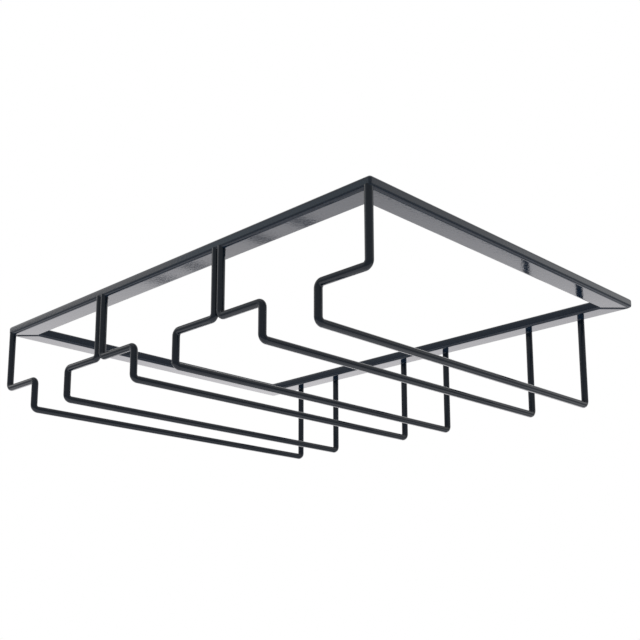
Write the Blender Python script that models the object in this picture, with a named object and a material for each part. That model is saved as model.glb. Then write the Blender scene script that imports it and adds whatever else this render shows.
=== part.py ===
"""Hanging wine glass rack for the underside of a cabinet.

A flat frame of four mitred steel tubes carries six bent wires, two for each row of glasses.
The foot of a glass goes in at the front, above the two jogs, and drops behind them onto the rails.
Its stem hangs between the rails, and the short front lip keeps it from sliding out.

Metres, +Z up. The origin is the centre of the frame's top face, which lies against the cabinet.
The front, where the glasses go in, faces -Y.
"""
import math

import bmesh
import bpy
from mathutils import Matrix, Vector

# Frame of flat rectangular tube
FRAME_WIDTH = 0.340
FRAME_DEPTH = 0.255
BAR_WIDTH = 0.015
BAR_HEIGHT = 0.0064
BAR_WALL = 0.0015
BAR_EDGE_RADIUS = 0.002
MITRE_LAND = 0.0003
MITRE_GAP = 0.0003

# Rows of glasses and their wires
ROW_COUNT = 3
RAIL_SPACING = 0.0406
WIRE_DIAMETER = 0.0045
WIRE_BEND_RADIUS = 0.003
JOG_DROP = 0.0385
RAIL_DROP = 0.0587
WIRE_INSET = 0.0018
END_WIRE_INSET = 0.0026
PAIR_GAP = 0.0003

# Seats and welds
SEAT_GAP = 0.0003
COPE_HEIGHT = 0.0018
BEAD_LEG = 0.0009
GROOVE_GAP = 0.0003

# Facets
EDGE_STEPS = 5
RIM_STEPS = 4
WIRE_SIDES = 20
BEND_STEPS = 6
BEAD_STEPS = 5

# Sizes and places that follow from these
MITRE_EDGE_RADIUS = BAR_WALL - MITRE_LAND
ROW_PITCH = FRAME_WIDTH / ROW_COUNT
UNDERSIDE = -BAR_HEIGHT
WIRE_RADIUS = WIRE_DIAMETER / 2
FRONT_WIRE_Y = -FRAME_DEPTH / 2 + WIRE_INSET
BACK_WIRE_Y = FRAME_DEPTH / 2 - WIRE_INSET
END_WIRE_X = FRAME_WIDTH / 2 - END_WIRE_INSET
PAIR_OFFSET = (WIRE_DIAMETER + PAIR_GAP) / 2
WIRE_TOP = UNDERSIDE + COPE_HEIGHT

COAT_COLOUR = (0.018, 0.020, 0.024, 1)
COAT_ROUGHNESS = 0.32


def clear_scene():
    for obj in list(bpy.data.objects):
        bpy.data.objects.remove(obj, do_unlink=True)


def powder_coat(name):
    """Black powder coat, one material for each piece."""
    material = bpy.data.materials.new(name + "_coat")
    material.use_nodes = True
    shader = material.node_tree.nodes["Principled BSDF"]
    shader.inputs["Base Color"].default_value = COAT_COLOUR
    shader.inputs["Roughness"].default_value = COAT_ROUGHNESS
    shader.inputs["Metallic"].default_value = 0
    return material


def add_piece(name, bm, location, turn, parent):
    """Turn a bmesh into a named object, placed by its location and its turn about Z."""
    bmesh.ops.recalc_face_normals(bm, faces=bm.faces)
    mesh = bpy.data.meshes.new(name)
    bm.to_mesh(mesh)
    bm.free()
    mesh.shade_smooth()
    mesh.set_sharp_from_angle(angle=math.radians(35))
    mesh.materials.append(powder_coat(name))
    piece = bpy.data.objects.new(name, mesh)
    piece.location = location
    piece.rotation_euler = (0, 0, turn)
    piece.parent = parent
    bpy.context.scene.collection.objects.link(piece)
    return piece


def vertices_of(result):
    return [item for item in result["geom"] if isinstance(item, bmesh.types.BMVert)]


def face_of(items):
    return next(item for item in items if isinstance(item, bmesh.types.BMFace))


def whole(face):
    """A face with its edges and corners, so that an extrusion leaves no face inside."""
    return [face, *face.edges, *face.verts]


def bar_outline(inset):
    """Section of a bar as (inwards from the outer face, height), each side moved in by inset."""
    radius = BAR_EDGE_RADIUS - inset
    near, far = BAR_EDGE_RADIUS, BAR_WIDTH - BAR_EDGE_RADIUS
    low, high = UNDERSIDE + BAR_EDGE_RADIUS, -BAR_EDGE_RADIUS
    points = []
    for corner, (inwards, height) in enumerate(((far, high), (near, high), (near, low), (far, low))):
        for step in range(EDGE_STEPS + 1):
            angle = math.radians(90) * (corner + step / EDGE_STEPS)
            points.append((inwards + radius * math.cos(angle), height + radius * math.sin(angle)))
    return points


def loft_round(bm, rings):
    """Skin through rings of vertices, from each to the next and from the last to the first."""
    for ring, following in zip(rings, rings[1:] + rings[:1]):
        for index in range(len(ring)):
            bm.faces.new((ring[index - 1], ring[index], following[index], following[index - 1]))


def mitre_rim():
    """Stations of a mitred end, as inset of the section and distance back from the mitre face.

    They follow the rounded rim from the skin of the tube to the mitre face, and cross it to the bore.
    """
    stations = []
    for step in range(RIM_STEPS + 1):
        angle = math.radians(90) * step / RIM_STEPS
        inset = MITRE_EDGE_RADIUS * (1 - math.cos(angle))
        back = MITRE_EDGE_RADIUS * (1 - math.sin(angle))
        stations.append((inset, back))
    stations.append((BAR_WALL, 0))
    return stations


def tube_bar(name, length, location, turn, parent):
    """One tube of the frame, lofted over both mitred ends and back through its bore."""
    rim = mitre_rim()
    bm = bmesh.new()
    rings = []
    for side, stations in ((-1, rim[::-1]), (1, rim)):
        for inset, back in stations:
            end_x = length / 2 - (MITRE_GAP / 2 + back) * math.sqrt(2)
            rings.append([
                bm.verts.new((side * (end_x - inwards), inwards, height))
                for inwards, height in bar_outline(inset)
            ])
    loft_round(bm, rings)
    return add_piece(name, bm, location, turn, parent)


def corner_weld(name, location, turn, parent):
    """The mitre weld: a strip that fills the groove between two rounded rims, ground flush with the top.

    Its sides are arcs about the centres of the rims, wider than the rims by the groove gap.
    """
    centre = MITRE_GAP / 2 + MITRE_EDGE_RADIUS
    side_radius = MITRE_EDGE_RADIUS + GROOVE_GAP
    root = MITRE_EDGE_RADIUS - math.sqrt(max(0, side_radius ** 2 - centre ** 2))
    run = (BAR_WIDTH - 2 * BAR_EDGE_RADIUS) * math.sqrt(2)
    start = BAR_EDGE_RADIUS * math.sqrt(2)
    half_section = []
    for step in range(BEAD_STEPS):
        depth = root * step / BEAD_STEPS
        half_width = centre - math.sqrt(side_radius ** 2 - (MITRE_EDGE_RADIUS - depth) ** 2)
        half_section.append((half_width, -depth))
    section = [*half_section, (0, -root), *((-across, height) for across, height in half_section[::-1])]
    bm = bmesh.new()
    end = bm.faces.new([bm.verts.new((start, across, height)) for across, height in section])
    other_end = bmesh.ops.extrude_face_region(bm, geom=[end])
    bmesh.ops.translate(bm, verts=vertices_of(other_end), vec=(run, 0, 0))
    return add_piece(name, bm, location, turn, parent)


def frame_cutter():
    """The whole frame as one closed ring, grown by the seat gap. It copes the ends of the wires."""
    bm = bmesh.new()
    rings = []
    for side_x, side_y in ((-1, -1), (1, -1), (1, 1), (-1, 1)):
        points = [
            (side_x * (FRAME_WIDTH / 2 - inwards), side_y * (FRAME_DEPTH / 2 - inwards), height)
            for inwards, height in bar_outline(-SEAT_GAP)
        ]
        rings.append([bm.verts.new(point) for point in points])
    loft_round(bm, rings)
    bmesh.ops.recalc_face_normals(bm, faces=bm.faces)
    mesh = bpy.data.meshes.new("frame_cutter")
    bm.to_mesh(mesh)
    bm.free()
    cutter = bpy.data.objects.new("frame_cutter", mesh)
    cutter.hide_render = True
    cutter.display_type = "WIRE"
    bpy.context.scene.collection.objects.link(cutter)
    return cutter


def feed(bm, face, step):
    """Lengthen the wire: push its end face on by step."""
    result = bmesh.ops.extrude_face_region(bm, geom=whole(face))
    bmesh.ops.translate(bm, verts=vertices_of(result), vec=step)
    return face_of(result["geom"])


def bend(bm, face, centre, axis):
    """Bend the wire by 90 degrees: swing its end face about an axis through centre."""
    result = bmesh.ops.spin(
        bm, geom=whole(face), cent=centre, axis=axis, angle=math.radians(90), steps=BEND_STEPS,
        use_duplicate=False
    )
    return face_of(result["geom_last"])


def bent_wire(name, corners, cutter, parent):
    """A round wire along straight runs that meet at corners, with a 90 degree bend at each one."""
    bm = bmesh.new()
    at = corners[0]
    bmesh.ops.create_circle(
        bm, cap_ends=True, segments=WIRE_SIDES, radius=WIRE_RADIUS, matrix=Matrix.Translation(at)
    )
    face = face_of(bm.faces)
    for corner, following in zip(corners[1:], corners[2:]):
        heading = (corner - at).normalized()
        turned = (following - corner).normalized()
        bend_start = corner - heading * WIRE_BEND_RADIUS
        face = feed(bm, face, bend_start - at)
        face = bend(bm, face, bend_start + turned * WIRE_BEND_RADIUS, heading.cross(turned))
        at = corner + turned * WIRE_BEND_RADIUS
    feed(bm, face, corners[-1] - at)
    wire = add_piece(name, bm, (0, 0, 0), 0, parent)
    cope = wire.modifiers.new("cope", "BOOLEAN")
    cope.operation = "DIFFERENCE"
    cope.solver = "EXACT"
    cope.object = cutter
    return wire


def wire_corners(rail_x, upright_x):
    """Centre line of one wire, from the top of its front upright to the top of its back upright."""
    jog = UNDERSIDE - JOG_DROP
    rail = UNDERSIDE - RAIL_DROP
    return [
        Vector((upright_x, FRONT_WIRE_Y, WIRE_TOP)),
        Vector((upright_x, FRONT_WIRE_Y, jog)),
        Vector((rail_x, FRONT_WIRE_Y, jog)),
        Vector((rail_x, FRONT_WIRE_Y, rail)),
        Vector((rail_x, BACK_WIRE_Y, rail)),
        Vector((rail_x, BACK_WIRE_Y, WIRE_TOP)),
    ]


def fillet_weld(name, location, turn, parent):
    """Small bead in the corner between a wire and the underside, facing the way of turn.

    It spans the angle that leaves the beads of two wires side by side clear of each other.
    """
    near = WIRE_RADIUS + SEAT_GAP
    reach = near + BEAD_LEG
    half_angle = math.asin(min(1, (PAIR_OFFSET - PAIR_GAP / 2) / reach))
    bm = bmesh.new()
    profile = [(near, 0, 0)]
    for step in range(BEAD_STEPS + 1):
        angle = math.radians(90) * step / BEAD_STEPS
        profile.append((near + BEAD_LEG * math.cos(angle), 0, -BEAD_LEG * math.sin(angle)))
    section = bm.faces.new([bm.verts.new(point) for point in profile])
    bmesh.ops.rotate(bm, verts=bm.verts, matrix=Matrix.Rotation(-half_angle, 3, "Z"))
    bmesh.ops.spin(
        bm, geom=[section], cent=(0, 0, 0), axis=(0, 0, 1), angle=2 * half_angle, steps=BEAD_STEPS,
        use_duplicate=False
    )
    return add_piece(name, bm, location, turn, parent)


def build_frame(parent):
    half_width, half_depth = FRAME_WIDTH / 2, FRAME_DEPTH / 2
    tube_bar("front_bar", FRAME_WIDTH, (0, -half_depth, 0), 0, parent)
    tube_bar("back_bar", FRAME_WIDTH, (0, half_depth, 0), math.radians(180), parent)
    tube_bar("left_bar", FRAME_DEPTH, (-half_width, 0, 0), math.radians(-90), parent)
    tube_bar("right_bar", FRAME_DEPTH, (half_width, 0, 0), math.radians(90), parent)
    corners = ((-1, -1), (1, -1), (1, 1), (-1, 1))
    for number, (side_x, side_y) in enumerate(corners, start=1):
        inwards = math.atan2(-side_y, -side_x)
        place = (side_x * half_width, side_y * half_depth, 0)
        corner_weld(f"corner_weld_{number}", place, inwards, parent)


def build_rows(parent):
    cutter = frame_cutter()
    inwards_from_front, inwards_from_back = math.radians(90), math.radians(-90)
    number = 0
    for row in range(ROW_COUNT):
        row_x = (row - (ROW_COUNT - 1) / 2) * ROW_PITCH
        for side in (-1, 1):
            number += 1
            outermost = number in (1, 2 * ROW_COUNT)
            rail_x = row_x + side * RAIL_SPACING / 2
            shared_x = row_x + side * (ROW_PITCH / 2 - PAIR_OFFSET)
            upright_x = side * END_WIRE_X if outermost else shared_x
            corners = wire_corners(rail_x, upright_x)
            bent_wire(f"wire_{number}", corners, cutter, parent)
            seat = UNDERSIDE - SEAT_GAP
            towards = inwards_from_front + side * math.radians(45) * outermost
            fillet_weld(f"weld_front_{number}", (upright_x, FRONT_WIRE_Y, seat), towards, parent)
            fillet_weld(f"weld_back_{number}", (rail_x, BACK_WIRE_Y, seat), inwards_from_back, parent)


def main():
    clear_scene()
    rack = bpy.data.objects.new("rack", None)
    bpy.context.scene.collection.objects.link(rack)
    build_frame(rack)
    build_rows(rack)


main()
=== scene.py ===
# %% [markdown]
# # A wine glass rack that hangs under a cabinet
#
# The rack is a flat frame of four mitred steel tubes. Six bent wires are welded to its underside, two for
# each row of glasses. Everything has one semi-gloss black powder coat. This lesson loads the plain CAD
# model, sets up the camera and the studio, builds the coat as a material, and then models each piece again
# with finer edges. Every new piece takes the place of its CAD node.

# %% Load the CAD frame
import math

import bpy
from mathutils import Matrix, Vector


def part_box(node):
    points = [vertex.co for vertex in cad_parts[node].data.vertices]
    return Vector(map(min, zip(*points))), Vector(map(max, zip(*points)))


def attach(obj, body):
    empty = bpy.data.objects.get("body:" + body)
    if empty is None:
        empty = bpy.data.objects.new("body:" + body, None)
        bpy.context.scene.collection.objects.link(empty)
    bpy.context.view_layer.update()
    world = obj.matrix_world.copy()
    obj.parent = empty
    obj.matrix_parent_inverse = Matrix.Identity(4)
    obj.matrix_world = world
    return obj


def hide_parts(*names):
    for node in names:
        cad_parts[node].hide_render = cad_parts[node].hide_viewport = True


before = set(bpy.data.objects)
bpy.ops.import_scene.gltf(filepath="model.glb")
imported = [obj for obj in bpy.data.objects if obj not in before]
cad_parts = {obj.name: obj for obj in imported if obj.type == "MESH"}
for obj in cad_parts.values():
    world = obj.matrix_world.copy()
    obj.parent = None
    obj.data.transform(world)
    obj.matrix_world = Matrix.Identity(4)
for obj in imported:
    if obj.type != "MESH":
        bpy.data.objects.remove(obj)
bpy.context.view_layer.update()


# %% [markdown]
# ## Sizes
#
# The sizes of a tube and the depth of the frame are read back from the CAD nodes, so they can't drift from
# them. What the boxes don't tell, such as the bend radius of the wire, is repeated here as a named length.
# All lengths are in metres.

# %% Sizes of the frame
bar_low, bar_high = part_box("front_bar")
BAR_HEIGHT = bar_high.z - bar_low.z
BAR_WIDTH = bar_high.y - bar_low.y
UNDERSIDE = bar_low.z
FRAME_WIDTH = 0.340
FRAME_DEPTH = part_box("back_bar")[1].y - bar_low.y
BAR_EDGE_RADIUS = 0.002
MITRE_EDGE_RADIUS = 0.0019
MITRE_GAP = 0.0003
NEAR = 1e-6
QUARTER_TURN = math.radians(90)
print("frame", round(FRAME_WIDTH * 1000, 1), "by", round(FRAME_DEPTH * 1000, 1), "mm, bar",
      round(BAR_WIDTH * 1000, 1), "by", round(BAR_HEIGHT * 1000, 1), "mm")

# %% Sizes of the wires
WIRE_DIAMETER = 0.0045
WIRE_RADIUS = WIRE_DIAMETER / 2
WIRE_BEND_RADIUS = 0.003
WIRE_REACH = 0.0018
JOG_DROP = 0.0385
RAIL_DROP = 0.0587
WIRE_TOP = UNDERSIDE + WIRE_REACH
JOG_HEIGHT = UNDERSIDE - JOG_DROP
RAIL_HEIGHT = UNDERSIDE - RAIL_DROP
print("wire", round(WIRE_DIAMETER * 1000, 1), "mm thick, rails", round(-RAIL_HEIGHT * 1000, 1), "mm down")

# %% [markdown]
# ## Camera
#
# The rack is seen from below and from its right front corner, about half a metre away from that corner. The
# lens is fairly long. The camera tilts up a little, and the shift of the lens does the rest, which keeps the
# uprights nearly parallel in the picture.

# %% Place the camera
CAMERA_PLACE = (0.46954, -0.46813, -0.21982)
CAMERA_TURN = 44.925
CAMERA_PITCH = 10.969
LENS_LENGTH = 57.54
LENS_SHIFT = (0.0154, 0.1967)
camera_data = bpy.data.cameras.new("camera")
camera_data.sensor_width = 36
camera_data.lens = LENS_LENGTH
camera_data.shift_x, camera_data.shift_y = LENS_SHIFT
camera_data.clip_start = 0.01
camera = bpy.data.objects.new("camera", camera_data)
camera.location = CAMERA_PLACE
camera.rotation_euler = (math.radians(90 + CAMERA_PITCH), 0, math.radians(CAMERA_TURN))
bpy.context.scene.collection.objects.link(camera)
bpy.context.scene.camera = camera
bpy.context.scene.view_settings.view_transform = "Standard"
print("camera looks along", [round(v, 3) for v in camera.rotation_euler.to_matrix() @ Vector((0, 0, -1))])

# %% [markdown]
# ## Studio
#
# A black gloss coat shows little colour of its own. What the eye sees is the room in it, so the room is kept
# plain: white all round for the camera and in the reflections, a pale floor some way under the rack, and
# large soft lamps. The world gives the pieces a lower, even light, so that pale things don't burn out. One
# way to make such a world is a single white background, but then it would light the pieces at full
# strength. So two backgrounds are mixed by the kind of ray that meets them.

# %% A white surrounding with an even light
EVEN_STRENGTH = 0.75
world = bpy.data.worlds.new("studio")
bpy.context.scene.world = world
world.use_nodes = True
sky = world.node_tree.nodes
sky_links = world.node_tree.links
sky.clear()


def white_background(strength):
    background = sky.new("ShaderNodeBackground")
    background.inputs["Color"].default_value = (1, 1, 1, 1)
    background.inputs["Strength"].default_value = strength
    return background


even_light = white_background(EVEN_STRENGTH)
white = white_background(1)
ray = sky.new("ShaderNodeLightPath")
seen = ray.outputs["Is Camera Ray"]
for kind in ("Is Glossy Ray", "Is Transmission Ray"):
    either = sky.new("ShaderNodeMath")
    either.operation = "MAXIMUM"
    sky_links.new(seen, either.inputs[0])
    sky_links.new(ray.outputs[kind], either.inputs[1])
    seen = either.outputs[0]
mixed_light = sky.new("ShaderNodeMixShader")
sky_out = sky.new("ShaderNodeOutputWorld")
sky_links.new(seen, mixed_light.inputs[0])
sky_links.new(even_light.outputs[0], mixed_light.inputs[1])
sky_links.new(white.outputs[0], mixed_light.inputs[2])
sky_links.new(mixed_light.outputs[0], sky_out.inputs[0])
print("world light", EVEN_STRENGTH)

# %% [markdown]
# ## Lamps
#
# Each face of the rack mirrors one part of the room, so each gets its own soft lamps. The ones that lie low,
# just above the floor, shine up. The far one shows in the undersides of the bars, and the nearer ones in
# their lower roundings and in the rails. They lie along the camera's own diagonal or beside it. The lamps on
# the left show in the front faces, a warm one with a bluish one beside it, and the lamps on the right show
# in the right-hand faces. An area lamp gives an even face with clean edges, which reads as a soft box. A sun
# or a spot would show as a dot.

# %% Soft lamps above and below
WHITE = (1, 1, 1)
LILAC = (1.0, 0.965, 0.99)
LOW_LAMP_HEIGHT = -0.43
LOW_LAMP_TURNS = (180, 0, 45)
DIAGONAL = (-math.sqrt(0.5), math.sqrt(0.5))


def soft_lamp(name, place, turns, size, brightness, colour=WHITE):
    """A lamp that shines down, turned in degrees about X, Y and Z. Its brightness is that of its face."""
    width, depth = size
    data = bpy.data.lights.new(name, "AREA")
    data.shape = "RECTANGLE"
    data.color = colour
    data.size = width
    data.size_y = depth
    data.energy = brightness * math.pi * width * depth
    lamp = bpy.data.objects.new(name, data)
    lamp.location = place
    lamp.rotation_euler = [math.radians(turn) for turn in turns]
    bpy.context.scene.collection.objects.link(lamp)
    print(name, round(data.energy, 1), "W over", width, "by", depth, "m")


def low_lamp(name, place, size, brightness):
    """A lamp just above the floor, which shines up and is square to the camera's diagonal."""
    soft_lamp(name, (*place, LOW_LAMP_HEIGHT), LOW_LAMP_TURNS, size, brightness, LILAC)


def along_the_diagonal(distance):
    return DIAGONAL[0] * distance, DIAGONAL[1] * distance


soft_lamp("overhead_lamp", (0.0, 0.0, 2.2), turns=(0, 0, 0), size=(2.4, 2.4), brightness=0.7)
low_lamp("far_low_lamp", along_the_diagonal(2.08), size=(3.2, 1.94), brightness=1.85)
low_lamp("near_low_lamp", along_the_diagonal(0.83), size=(1.8, 0.56), brightness=1.53)
low_lamp("under_lamp", along_the_diagonal(-0.15), size=(2.0, 0.7), brightness=1.4)
low_lamp("right_low_lamp", (0.516, 1.039), size=(0.8, 0.34), brightness=1.4)
low_lamp("left_low_lamp", (-1.039, -0.516), size=(0.8, 0.34), brightness=1.4)

# %% Soft lamps on the left and on the right
WARM = (1.0, 0.96, 0.93)
BLUISH = (0.70, 0.89, 1.0)
soft_lamp("left_lamp", (-1.87, -0.925, 0.90), turns=(90, -20, -56), size=(0.86, 0.72),
          brightness=1.35, colour=WARM)
soft_lamp("blue_lamp", (-1.18, -1.49, 0.863), turns=(90, -20, -40), size=(0.80, 0.40),
          brightness=0.70, colour=BLUISH)
soft_lamp("right_lamp", (1.29, 1.68, 0.82), turns=(90, 28, 150), size=(1.05, 0.40), brightness=0.78)
soft_lamp("right_far_lamp", (1.03, 1.83, 0.70), turns=(90, 28, 150), size=(0.60, 0.34), brightness=0.36)

# %% A pale floor
FLOOR_HEIGHT = -0.46
FLOOR_WIDTH = 14
FLOOR_COLOUR = (0.92, 0.92, 0.92, 1)
bpy.ops.mesh.primitive_plane_add(size=FLOOR_WIDTH, location=(0, 0, FLOOR_HEIGHT))
floor = bpy.context.active_object
floor.name = "floor"
floor_paint = bpy.data.materials.new("floor_paint")
floor_paint.use_nodes = True
floor_shader = floor_paint.node_tree.nodes["Principled BSDF"]
floor_shader.inputs["Base Color"].default_value = FLOOR_COLOUR
floor_shader.inputs["Roughness"].default_value = 0.9
floor_shader.inputs["Specular IOR Level"].default_value = 0.1
floor.data.materials.append(floor_paint)
print("floor", floor.dimensions.x, "m wide at", FLOOR_HEIGHT)

# %% [markdown]
# ## The coat
#
# Powder coat is sprayed as dust and melted in an oven. It levels out, but not wholly: the surface keeps a
# faint orange peel a millimetre or two across, and fine grain under that. Both are heights, so they go
# through a Bump node. The grain shifts the colour a little as well, and soft clouds one or two centimetres
# across change the roughness. An image of a real coat would repeat and need unwrapping, so noise on Object
# coordinates is used. One group serves every piece. The coat runs a little smoother and more even on thin
# round wire than on the flat tube, so tube, wire and welds have their own strengths, colours and IOR.

# %% Group for the surface of the coat
TUBE_DARK = (0.0, 0.003, 0.009, 1)
TUBE_LIGHT = (0.006, 0.012, 0.021, 1)


def group_socket(tree, name, way, kind, value=None):
    socket = tree.interface.new_socket(name=name, in_out=way, socket_type=kind)
    if value is not None:
        socket.default_value = value


coat = bpy.data.node_groups.new("powder_coat_surface", "ShaderNodeTree")
group_socket(coat, "Peel", "INPUT", "NodeSocketFloat", 0.1)
group_socket(coat, "Grain", "INPUT", "NodeSocketFloat", 0.1)
group_socket(coat, "Dark", "INPUT", "NodeSocketColor", TUBE_DARK)
group_socket(coat, "Light", "INPUT", "NodeSocketColor", TUBE_LIGHT)
group_socket(coat, "Colour", "OUTPUT", "NodeSocketColor")
group_socket(coat, "Roughness", "OUTPUT", "NodeSocketFloat")
group_socket(coat, "Normal", "OUTPUT", "NodeSocketVector")
coat_nodes = coat.nodes
link = coat.links.new
coat_in = coat_nodes.new("NodeGroupInput")
coat_out = coat_nodes.new("NodeGroupOutput")
coordinates = coat_nodes.new("ShaderNodeTexCoord")


# %% Noises of three sizes
def noise_node(scale, detail):
    """Noise on the piece's own coordinates. At a scale of 1000, its spots are about a millimetre across."""
    noise = coat_nodes.new("ShaderNodeTexNoise")
    noise.inputs["Scale"].default_value = scale
    noise.inputs["Detail"].default_value = detail
    link(coordinates.outputs["Object"], noise.inputs["Vector"])
    return noise


peel_noise = noise_node(scale=600, detail=2)
grain_noise = noise_node(scale=1200, detail=1)
cloud_noise = noise_node(scale=60, detail=3)

# %% Heights of the peel and the grain
PEEL_HEIGHT = 0.0001
GRAIN_HEIGHT = 0.00002


def bump_node(noise, height, strength_input):
    bump = coat_nodes.new("ShaderNodeBump")
    bump.inputs["Distance"].default_value = height
    link(coat_in.outputs[strength_input], bump.inputs["Strength"])
    link(noise.outputs["Fac"], bump.inputs["Height"])
    return bump


peel_bump = bump_node(peel_noise, PEEL_HEIGHT, "Peel")
grain_bump = bump_node(grain_noise, GRAIN_HEIGHT, "Grain")
link(peel_bump.outputs["Normal"], grain_bump.inputs["Normal"])
link(grain_bump.outputs["Normal"], coat_out.inputs["Normal"])

# %% Colour of the grain, and roughness
SPECK_RANGE = (0.3, 0.7)
ROUGHNESS_RANGE = (0.07, 0.11)
speck = coat_nodes.new("ShaderNodeMapRange")
speck.inputs["From Min"].default_value, speck.inputs["From Max"].default_value = SPECK_RANGE
link(grain_noise.outputs["Fac"], speck.inputs["Value"])
shade = coat_nodes.new("ShaderNodeMix")
shade.data_type = "RGBA"
link(speck.outputs["Result"], shade.inputs["Factor"])
link(coat_in.outputs["Dark"], shade.inputs["A"])
link(coat_in.outputs["Light"], shade.inputs["B"])
link(shade.outputs["Result"], coat_out.inputs["Colour"])

gloss = coat_nodes.new("ShaderNodeMapRange")
gloss.inputs["To Min"].default_value, gloss.inputs["To Max"].default_value = ROUGHNESS_RANGE
link(cloud_noise.outputs["Fac"], gloss.inputs["Value"])
link(gloss.outputs["Result"], coat_out.inputs["Roughness"])
print("coat group:", len(coat_nodes), "nodes")

# %% Coats for the tube, the wire and the welds
WIRE_DARK = (0.002, 0.005, 0.009, 1)
WIRE_LIGHT = (0.005, 0.008, 0.013, 1)


def coat_material(name, dark, light, ior, peel, grain):
    material = bpy.data.materials.new(name)
    material.use_nodes = True
    nodes = material.node_tree.nodes
    shader = nodes["Principled BSDF"]
    shader.inputs["Metallic"].default_value = 0
    shader.inputs["IOR"].default_value = ior
    surface = nodes.new("ShaderNodeGroup")
    surface.node_tree = coat
    for socket, value in (("Peel", peel), ("Grain", grain), ("Dark", dark), ("Light", light)):
        surface.inputs[socket].default_value = value
    for output, socket in (("Colour", "Base Color"), ("Roughness", "Roughness"), ("Normal", "Normal")):
        material.node_tree.links.new(surface.outputs[output], shader.inputs[socket])
    print(name, "IOR", ior, "peel", peel, "grain", grain)
    return material


tube_coat = coat_material("tube_coat", TUBE_DARK, TUBE_LIGHT, ior=1.28, peel=0.25, grain=0.25)
wire_coat = coat_material("wire_coat", WIRE_DARK, WIRE_LIGHT, ior=1.26, peel=0.20, grain=0.20)
weld_coat = coat_material("weld_coat", TUBE_DARK, TUBE_LIGHT, ior=1.28, peel=0.25, grain=0.20)

# %% [markdown]
# ## Helpers
#
# Each piece is shaped in edit mode, so small helpers choose what the next operator acts on. The others
# finish a piece, tie it to the rack and to its CAD node, and copy it. A copy that shares its mesh would be
# lighter, but then it couldn't have its place in its own mesh.

# %% Choose corners, edges or faces by a test
def start_from_nothing_selected():
    if bpy.context.object and bpy.context.object.mode == "EDIT":
        bpy.ops.object.mode_set(mode="OBJECT")
    bpy.ops.object.select_all(action="DESELECT")


def choose(kind, test):
    """Select only the corners, edges or faces of the edited mesh that pass a test, and count them."""
    bpy.ops.mesh.select_mode(type=kind)
    bpy.ops.mesh.select_all(action="DESELECT")
    bpy.ops.object.mode_set(mode="OBJECT")
    mesh = bpy.context.object.data
    chosen = 0
    for item in {"VERT": mesh.vertices, "EDGE": mesh.edges, "FACE": mesh.polygons}[kind]:
        item.select = test(mesh, item)
        chosen += item.select
    bpy.ops.object.mode_set(mode="EDIT")
    return chosen


def choose_all(kind):
    bpy.ops.mesh.select_mode(type=kind)
    bpy.ops.mesh.select_all(action="SELECT")


# %% Finish a piece and tie it to its node
SMOOTH_UP_TO = math.radians(40)
LARGE_FACES_RULE = 100


def tie(piece, node):
    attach(piece, "root")
    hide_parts(node)
    print(piece.name, "stands for", node, "with", len(piece.data.polygons), "faces")


def finish_piece(name, material, node):
    """Name the piece, apply its place, let the large faces rule its shading, and tie it to its node."""
    piece = bpy.context.object
    bpy.ops.mesh.select_all(action="SELECT")
    bpy.ops.mesh.normals_make_consistent(inside=False)
    bpy.ops.object.mode_set(mode="OBJECT")
    piece.name = name
    bpy.ops.object.transform_apply(location=True, rotation=True, scale=True)
    bpy.ops.object.shade_smooth_by_angle(angle=SMOOTH_UP_TO)
    weighted = piece.modifiers.new("weighted", "WEIGHTED_NORMAL")
    weighted.weight = LARGE_FACES_RULE
    weighted.keep_sharp = True
    bpy.ops.object.modifier_apply(modifier="weighted")
    piece.data.materials.clear()
    piece.data.materials.append(material)
    tie(piece, node)
    return piece


# %% Copy a piece
def placed_copy(piece, name, matrix, node):
    """A copy with its own mesh, moved or turned in its mesh, so that the object stays at the origin."""
    twin = piece.copy()
    twin.data = piece.data.copy()
    twin.name = name
    bpy.context.scene.collection.objects.link(twin)
    twin.parent = None
    twin.matrix_world = Matrix.Identity(4)
    twin.data.transform(matrix)
    tie(twin, node)


# %% [markdown]
# ## The frame tubes
#
# A tube starts as its own section: a small upright plane whose corners are bevelled to the radius of drawn
# tube. The section is extruded to the length of the tube, and a run of small insets rounds the rim at both
# ends. Last, the ends are slanted by 45 degrees for the mitres. Shear is an operator that needs a window, so
# the slant is written straight into the vertices: each one moves along the tube by its distance from the
# outer face. Cutting the mitres with bisect looks simpler, but it leaves long splinters that shade badly.

# %% Section and length of one tube
TUBE_EDGE_STEPS = 12
ROUND_PROFILE = 0.5


def draw_tube(length):
    """A straight tube along X, centred on the origin in X, with its outer face at y 0 and its top at z 0."""
    start_from_nothing_selected()
    bpy.ops.mesh.primitive_plane_add(size=1, location=(-length / 2, BAR_WIDTH / 2, UNDERSIDE / 2),
                                     rotation=(0, QUARTER_TURN, 0))
    tube = bpy.context.object
    tube.scale = (BAR_HEIGHT, BAR_WIDTH, 1)
    bpy.ops.object.transform_apply(location=True, rotation=True, scale=True)
    bpy.ops.object.mode_set(mode="EDIT")
    choose_all("VERT")
    bpy.ops.mesh.bevel(offset=BAR_EDGE_RADIUS, segments=TUBE_EDGE_STEPS, profile=ROUND_PROFILE,
                       affect="VERTICES")
    choose_all("FACE")
    bpy.ops.mesh.extrude_region_move(TRANSFORM_OT_translate={"value": (length, 0, 0)})
    bpy.ops.mesh.select_all(action="SELECT")
    bpy.ops.mesh.normals_make_consistent(inside=False)
    return tube


# %% Round the rim of an end
# A length across a mitre grows by this factor when it is measured along the tube.
SLANT = math.sqrt(2)
RIM_SETBACK = (MITRE_GAP / 2 + MITRE_EDGE_RADIUS) * SLANT
RIM_STEPS = 6
# A face looks a given way if more than this much of its normal points there.
FACING = 0.5


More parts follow.
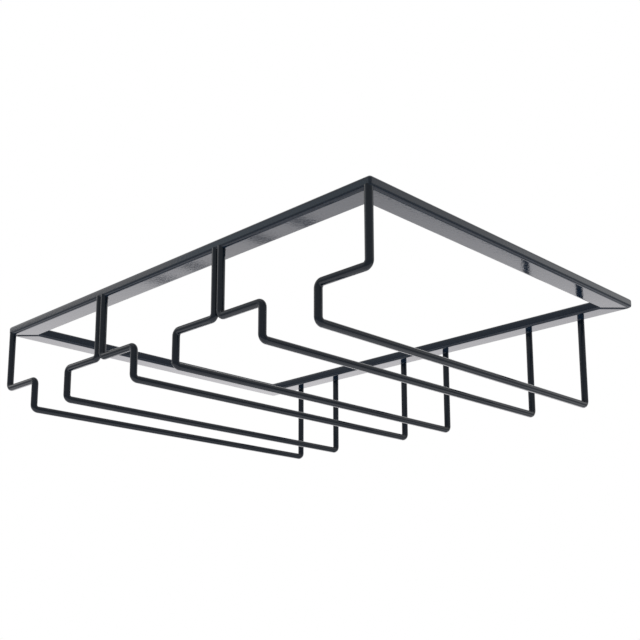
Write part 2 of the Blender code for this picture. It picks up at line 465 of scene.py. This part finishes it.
def round_the_rim(side, end_x):
    """A run of insets, each a little higher, follows a quarter circle from the skin to the end face.

    The slant that follows brings the layers closer together, so they are raised by that much more here.
    """
    choose("FACE", lambda mesh, face: side * face.center.x > end_x - NEAR and side * face.normal.x > FACING)
    for step in range(RIM_STEPS):
        here, there = (QUARTER_TURN * k / RIM_STEPS for k in (step, step + 1))
        bpy.ops.mesh.inset(thickness=MITRE_EDGE_RADIUS * (math.cos(here) - math.cos(there)),
                           depth=MITRE_EDGE_RADIUS * SLANT * (math.sin(there) - math.sin(here)))


# %% Slant the ends and put the tube in place
def model_tube(name, length, node, placing):
    end_x = length / 2 - RIM_SETBACK
    tube = draw_tube(2 * end_x)
    for side in (-1, 1):
        round_the_rim(side, end_x)
    bpy.ops.object.mode_set(mode="OBJECT")
    for vertex in tube.data.vertices:
        vertex.co.x -= math.copysign(vertex.co.y, vertex.co.x)
    tube.data.transform(placing)
    bpy.ops.object.mode_set(mode="EDIT")
    return finish_piece(name, tube_coat, node)


# %% Four tubes round the frame
to_front = Matrix.Translation((0, -FRAME_DEPTH / 2, 0))
to_right = Matrix.Translation((FRAME_WIDTH / 2, 0, 0)) @ Matrix.Rotation(QUARTER_TURN, 4, "Z")
half_turn = Matrix.Rotation(math.pi, 4, "Z")
front_tube = model_tube("front_tube", FRAME_WIDTH, "front_bar", to_front)
right_tube = model_tube("right_tube", FRAME_DEPTH, "right_bar", to_right)
placed_copy(front_tube, "back_tube", half_turn, "back_bar")
placed_copy(right_tube, "left_tube", half_turn, "left_bar")

# %% [markdown]
# ## The wires
#
# A wire is one steel rod with four bends. It is modelled as it is bent: a disc, the cut end of the rod, is
# drawn down by an extrusion, swung through 90 degrees by a spin, and so on to the other end. Every bend then
# has its true radius. A bevelled curve would be quicker, but its corners would need hand-set handles.

# %% Bend one wire
WIRE_SIDES = 40
BEND_STEPS = 10


def draw_on(step):
    """Push the end of the rod on by a step."""
    bpy.ops.mesh.extrude_region_move(TRANSFORM_OT_translate={"value": step})


def swing(centre, axis):
    """Swing the end of the rod by 90 degrees. Spin turns against the right hand rule."""
    bpy.ops.mesh.spin(steps=BEND_STEPS, angle=-QUARTER_TURN, center=centre, axis=axis, dupli=False)


def bend_wire(name, corners, node):
    start_from_nothing_selected()
    at = corners[0]
    bpy.ops.mesh.primitive_circle_add(vertices=WIRE_SIDES, radius=WIRE_RADIUS, fill_type="NGON", location=at)
    bpy.ops.object.transform_apply(location=True, rotation=False, scale=False)
    bpy.ops.object.mode_set(mode="EDIT")
    choose_all("FACE")
    for corner, following in zip(corners[1:], corners[2:]):
        heading = (corner - at).normalized()
        turned = (following - corner).normalized()
        bend_start = corner - heading * WIRE_BEND_RADIUS
        draw_on(bend_start - at)
        swing(bend_start + turned * WIRE_BEND_RADIUS, heading.cross(turned))
        at = corner + turned * WIRE_BEND_RADIUS
    draw_on(corners[-1] - at)
    finish_piece(name, wire_coat, node)


# %% Lay out the wires of each row
ROWS = 3
WIRES = 2 * ROWS
ROW_PITCH = FRAME_WIDTH / ROWS
RAIL_SPACING = 0.0406
PAIR_GAP = 0.0003
END_INSET = 0.0026
WIRE_INSET = 0.0018
FRONT_Y = -FRAME_DEPTH / 2 + WIRE_INSET
BACK_Y = FRAME_DEPTH / 2 - WIRE_INSET


def is_outermost(number):
    return number in (1, WIRES)


def wire_place(number):
    """The x of a wire's rail and of its front upright, and on which side of its row it is."""
    row_x = ((number - 1) // 2 - 1) * ROW_PITCH
    side = 1 if number % 2 == 0 else -1
    upright_x = row_x + side * (ROW_PITCH / 2 - WIRE_RADIUS - PAIR_GAP / 2)
    if is_outermost(number):
        upright_x = side * (FRAME_WIDTH / 2 - END_INSET)
    return row_x + side * RAIL_SPACING / 2, upright_x, side


def centre_line(rail_x, upright_x):
    return [
        Vector((upright_x, FRONT_Y, WIRE_TOP)),
        Vector((upright_x, FRONT_Y, JOG_HEIGHT)),
        Vector((rail_x, FRONT_Y, JOG_HEIGHT)),
        Vector((rail_x, FRONT_Y, RAIL_HEIGHT)),
        Vector((rail_x, BACK_Y, RAIL_HEIGHT)),
        Vector((rail_x, BACK_Y, WIRE_TOP)),
    ]


# %% Bend the six wires
wire_places = {number: wire_place(number) for number in range(1, WIRES + 1)}
for number, (rail_x, upright_x, _) in wire_places.items():
    bend_wire(f"bent_wire_{number}", centre_line(rail_x, upright_x), f"wire_{number}")

# %% [markdown]
# ## The welds
#
# Where a wire meets the tube, a small fillet runs part of the way round its end and thins out on both
# sides. Its hollow section is a plane with one corner bevelled, swept round the wire by a spin. A metaball
# or a noisy sphere would look like a blob, and here the beads are small and neat.

# %% Model one fillet
FILLET_LEG = 0.0008
FILLET_SINK = 0.0002
FILLET_HOLLOW = FILLET_LEG * 0.95
FILLET_PROFILE = 0.12
HOLLOW_STEPS = 6
FILLET_HALF_ANGLE = math.radians(48)
FILLET_STEPS = 16


def model_fillet():
    """A fillet round a wire that stands at the origin under a flat surface, from +X onwards."""
    start_from_nothing_selected()
    size = FILLET_LEG + FILLET_SINK
    middle = Vector((WIRE_RADIUS - FILLET_SINK + size / 2, 0, FILLET_SINK - size / 2))
    bpy.ops.mesh.primitive_plane_add(size=size, location=middle, rotation=(QUARTER_TURN, 0, 0))
    bpy.ops.object.transform_apply(location=True, rotation=True, scale=True)
    bpy.ops.object.mode_set(mode="EDIT")
    choose("VERT", lambda mesh, corner: corner.co.x > middle.x and corner.co.z < middle.z)
    bpy.ops.mesh.bevel(offset=FILLET_HOLLOW, segments=HOLLOW_STEPS, profile=FILLET_PROFILE,
                       affect="VERTICES")
    choose_all("FACE")
    bpy.ops.mesh.spin(steps=FILLET_STEPS, angle=2 * FILLET_HALF_ANGLE, center=(0, 0, 0), axis=(0, 0, 1))
    return bpy.context.object


# %% Thin the ends of the fillet
LEAST_THICKNESS_SQUARED = 0.02


def thin_the_ends(fillet):
    """Centre the fillet on +X, and let it shrink to the root of the corner at both ends."""
    bpy.ops.object.mode_set(mode="OBJECT")
    root = WIRE_RADIUS - FILLET_SINK
    turns = [math.atan2(corner.co.y, corner.co.x) for corner in fillet.data.vertices]
    middle_turn = (min(turns) + max(turns)) / 2
    for corner, turn in zip(fillet.data.vertices, turns):
        turn -= middle_turn
        thickness = math.sqrt(max(LEAST_THICKNESS_SQUARED, 1 - (turn / FILLET_HALF_ANGLE) ** 2))
        reach = root + (math.hypot(corner.co.x, corner.co.y) - root) * thickness
        depth = (corner.co.z - FILLET_SINK) * thickness
        corner.co = (reach * math.cos(turn), reach * math.sin(turn), FILLET_SINK + depth)
    bpy.ops.object.mode_set(mode="EDIT")
    print("fillet over", round(math.degrees(max(turns) - min(turns)), 1), "degrees")


# %% Put a fillet at the top of each upright
TOWARDS_BACK = 90
TOWARDS_FRONT = -90
TOWARDS_MIDDLE = 45


def fillet_place(x, y, turn):
    return Matrix.Translation((x, y, UNDERSIDE)) @ Matrix.Rotation(math.radians(turn), 4, "Z")


def model_fillets():
    """A bead faces the inside of the frame, and at the front corners it faces the middle as well."""
    places = {}
    for number, (rail_x, upright_x, side) in wire_places.items():
        front_turn = TOWARDS_BACK + side * TOWARDS_MIDDLE * is_outermost(number)
        places[f"weld_front_{number}"] = fillet_place(upright_x, FRONT_Y, front_turn)
        places[f"weld_back_{number}"] = fillet_place(rail_x, BACK_Y, TOWARDS_FRONT)
    first_node, *other_nodes = places
    thin_the_ends(model_fillet())
    first = finish_piece("fillet_" + first_node, weld_coat, first_node)
    for node in other_nodes:
        placed_copy(first, "fillet_" + node, places[node], node)
    first.data.transform(places[first_node])
    print(len(places), "fillets")


model_fillets()

# %% [markdown]
# ## The corner welds
#
# The mitres are open below, where the camera sees a dark line, but welded and ground smooth at the outer
# corner, along the top and in the inner corner. Such a weld has the same skin as the tubes, carried round
# the corner. So it starts as a short tube with a slanting end, and that end is extruded along the other
# side of the frame. A bevel rounds the ridges where the two runs meet, two cuts beside the mitre leave the
# band between the rims, and a slot from below keeps the mitre open. The two front corners are alike, so one
# is a copy. The left back corner is filled below as well. A boolean union of the tubes would give such a
# corner too, but then the tubes are no longer pieces of their own.

# %% Carry the tube round a corner
CORNER_RADIUS = 0.0012
CORNER_STEPS = 6
CORNER_ARM = 0.021


def is_ridge_edge(mesh, edge):
    """Whether an edge of the mitred corner runs up or down it, and not across the flat top or bottom."""
    start, end = (mesh.vertices[index].co for index in edge.vertices)
    in_the_mitre = abs(start.x - start.y) < NEAR and abs(end.x - end.y) < NEAR
    return in_the_mitre and abs(start.z - end.z) > NEAR


def draw_tube_corner():
    """A corner at the origin, with its top at z 0, from which the tube runs along +X and along +Y."""
    corner = draw_tube(CORNER_ARM)
    bpy.ops.object.mode_set(mode="OBJECT")
    for vertex in corner.data.vertices:
        vertex.co.x = CORNER_ARM if vertex.co.x > 0 else vertex.co.y
    bpy.ops.object.mode_set(mode="EDIT")
    choose("FACE", lambda mesh, face: face.normal.x < -FACING)
    bpy.ops.mesh.extrude_region_move(TRANSFORM_OT_translate={"value": (0, CORNER_ARM, 0)})
    ridge_edges = choose("EDGE", is_ridge_edge)
    bpy.ops.mesh.bevel(offset=CORNER_RADIUS, offset_type="ABSOLUTE", segments=CORNER_STEPS,
                       profile=ROUND_PROFILE, affect="EDGES")
    print("corner with", ridge_edges, "edges on its ridges")
    return corner


# %% Cut the corner down to its weld
def cut_away(place, outwards):
    """Cut the edited mesh with a plane, drop what lies outwards of it and close the cut."""
    bpy.ops.mesh.select_all(action="SELECT")
    bpy.ops.mesh.bisect(plane_co=place, plane_no=outwards, use_fill=True, clear_outer=True, threshold=NEAR)


def model_corner_weld():
    """The band between the rims of two tubes, carried round the corner and closed on every side."""
    weld = draw_tube_corner()
    cut_away((RIM_SETBACK, 0, 0), (1, -1, 0))
    cut_away((0, RIM_SETBACK, 0), (-1, 1, 0))
    return weld


# %% Open the mitre from below
# The slot starts and ends at these distances from the outer corner, measured along the mitre.
SLOT_START_FRONT = 0.0054
SLOT_START_BACK = 0.0031
INNER_SKIN = 0.0006
SLOT_END = BAR_WIDTH * SLANT - INNER_SKIN
TOP_SKIN = 0.0010


def open_mitre(weld, slot_start):
    """Cut a slot into the weld from below, which shows as the dark seam of the mitre."""
    bpy.ops.object.mode_set(mode="OBJECT")
    middle = (slot_start + SLOT_END) / 2 / SLANT
    bpy.ops.mesh.primitive_cube_add(size=1, location=(middle, middle, -TOP_SKIN - BAR_HEIGHT / 2),
                                    rotation=(0, 0, math.radians(45)),
                                    scale=(SLOT_END - slot_start, 2 * RIM_SETBACK, BAR_HEIGHT))
    cutter = bpy.context.object
    start_from_nothing_selected()
    weld.select_set(True)
    bpy.context.view_layer.objects.active = weld
    slot = weld.modifiers.new("slot", "BOOLEAN")
    slot.operation = "DIFFERENCE"
    slot.object = cutter
    bpy.ops.object.modifier_apply(modifier="slot")
    bpy.data.objects.remove(cutter)
    bpy.ops.object.mode_set(mode="EDIT")
    print("mitre open below over", round((SLOT_END - slot_start) * 1000, 1), "mm")


# %% Put a weld in each corner
def corner_place(number):
    """The corners are counted from the left front one, against the clock as seen from above."""
    side_x = 1 if number in (2, 3) else -1
    side_y = 1 if number in (3, 4) else -1
    move = Matrix.Translation((side_x * FRAME_WIDTH / 2, side_y * FRAME_DEPTH / 2, 0))
    return move @ Matrix.Rotation(math.radians(90 * (number - 1)), 4, "Z")


for number, slot_start in ((1, SLOT_START_FRONT), (3, SLOT_START_BACK), (4, None)):
    weld = model_corner_weld()
    if slot_start:
        open_mitre(weld, slot_start)
    weld = finish_piece(f"ground_corner_{number}", weld_coat, f"corner_weld_{number}")
    if number == 1:
        placed_copy(weld, "ground_corner_2", corner_place(2), "corner_weld_2")
    weld.data.transform(corner_place(number))
